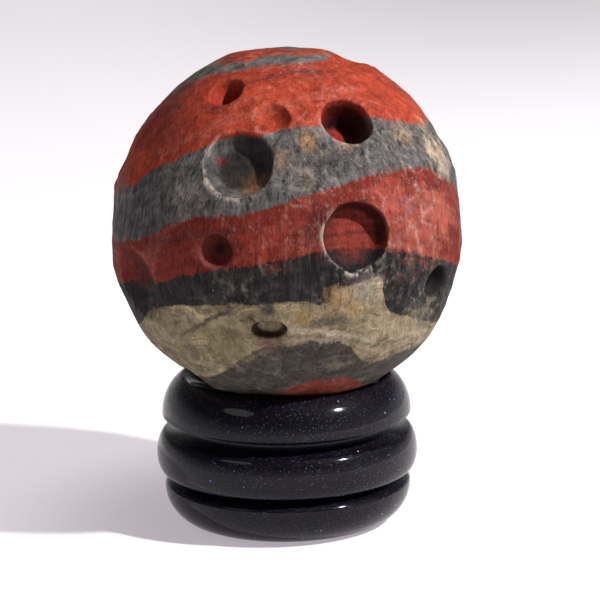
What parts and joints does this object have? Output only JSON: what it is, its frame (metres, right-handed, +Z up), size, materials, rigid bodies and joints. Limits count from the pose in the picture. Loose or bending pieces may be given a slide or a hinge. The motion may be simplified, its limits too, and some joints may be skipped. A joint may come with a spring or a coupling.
{
  "type": "decorative sphere on ring stand",
  "caption": "Hand-carved ball of banded stone with drilled hollows, resting in an open turned glass ring stand with rounded beads.",
  "frame": {"origin": "centre of the base of the whole piece: midway across the ball's width and depth, at the underside of the ring stand", "axes": "+Z up, -Y towards the viewer of the front, +X to the viewer's right"},
  "size_m": [0.0498, 0.0508, 0.0681],
  "materials": {
    "banded_stone": "matte hand-carved stone in red, dark grey and tan layers, with worn pale edges",
    "glitter_glass": "glossy opaque blue-black glass with fine metallic glitter"
  },
  "bodies": {
    "root": {"stone_ball": "banded_stone", "ring_stand": "glitter_glass"}
  },
  "joints": []
}
